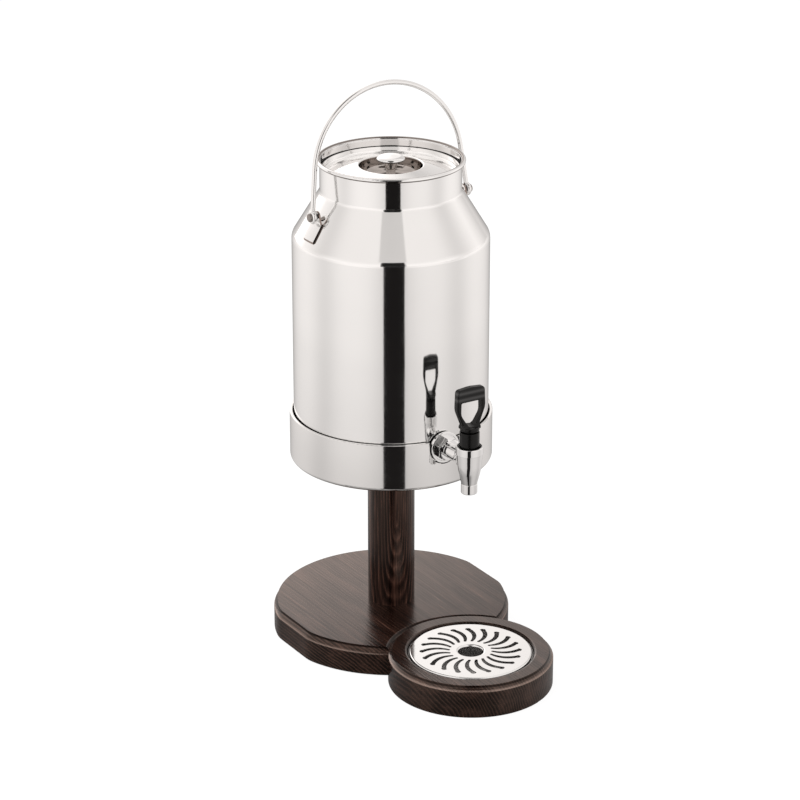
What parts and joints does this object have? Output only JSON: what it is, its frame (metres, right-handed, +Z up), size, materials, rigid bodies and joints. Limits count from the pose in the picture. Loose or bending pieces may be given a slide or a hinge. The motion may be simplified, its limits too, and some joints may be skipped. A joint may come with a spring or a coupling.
{
  "type": "beverage dispenser",
  "caption": "Milk-churn-shaped steel drink dispenser with a lever tap, bail and lift-out lid, held in a cup on a wooden column and base with a drip tray.",
  "frame": {"origin": "on the column axis, on the underside of the base board", "axes": "+Z up; -Y to the front, where the tap and the drip tray are; +X to the right as seen from the front; the bail turns about X"},
  "size_m": [0.2394, 0.362, 0.5907],
  "materials": {
    "wood": "dark stained, semi-gloss lacquer",
    "polished_steel": "polished",
    "tap_chrome": "polished",
    "tap_black": "semi-gloss",
    "seal_rubber": "matt",
    "plain_steel": "plain"
  },
  "bodies": {
    "stand": {"base_board": "wood", "tray_board": "wood", "joining_plate": "plain_steel", "joining_screws": "plain_steel", "column": "wood", "column_tie_rod": "plain_steel", "tie_rod_nuts": "plain_steel", "tie_rod_washer": "plain_steel", "cup_clamp_plate": "plain_steel", "holder_cup": "polished_steel"},
    "can": {"can_shell": "polished_steel", "can_bottom": "polished_steel", "bail_ear_left": "polished_steel", "bail_ear_right": "polished_steel", "bail_pin_left": "polished_steel", "bail_pin_right": "polished_steel", "tap_flange": "tap_chrome", "tap_outer_washer": "seal_rubber", "tap_shank": "tap_chrome", "tap_inner_washer": "seal_rubber", "tap_lock_nut": "tap_chrome", "tap_body": "tap_chrome", "tap_bonnet": "tap_black", "tap_spring": "plain_steel"},
    "bail": {"bail_handle": "polished_steel"},
    "lid": {"lid_pan": "polished_steel", "lid_seal": "seal_rubber", "lid_knob": "polished_steel", "lid_knob_screw": "plain_steel", "lid_knob_washer": "plain_steel"},
    "tap_stem": {"tap_stem": "plain_steel", "tap_seat_plug": "seal_rubber"},
    "tap_lever": {"tap_lever": "tap_black", "tap_lever_pin": "plain_steel"},
    "drip_dish": {"drip_dish": "polished_steel"},
    "drip_grille": {"drip_grille": "polished_steel"}
  },
  "joints": [
    {"name": "can_lift", "type": "slide", "parent": "stand", "child": "can", "axis": [0, 0, 1], "range_m": [0, 0.06]},
    {"name": "bail_swing", "type": "hinge", "parent": "can", "child": "bail", "pos_m": [0, 0, 0.467], "axis": [1, 0, 0], "range_deg": [-93, 107]},
    {"name": "lid_lift", "type": "slide", "parent": "can", "child": "lid", "axis": [0, 0, 1], "range_m": [0, 0.037]},
    {"name": "tap_stem_lift", "type": "slide", "parent": "can", "child": "tap_stem", "axis": [0, 0, 1], "range_m": [0, 0.0034], "deforming": ["tap_spring"]},
    {"name": "tap_lever_tilt", "type": "hinge", "parent": "tap_stem", "child": "tap_lever", "pos_m": [0, -0.149, 0.2742], "axis": [1, 0, 0], "range_deg": [0, 30], "stiffness_Nm_per_rad": 0.036, "springref_deg": -51.57},
    {"name": "drip_dish_lift", "type": "slide", "parent": "stand", "child": "drip_dish", "axis": [0, 0, 1], "range_m": [0, 0.04]},
    {"name": "drip_grille_lift", "type": "slide", "parent": "drip_dish", "child": "drip_grille", "axis": [0, 0, 1], "range_m": [0, 0.03]}
  ],
  "couplings": [
    {"joint": "tap_lever_tilt", "follows": "tap_stem_lift", "rad_per_m": 149.25}
  ]
}
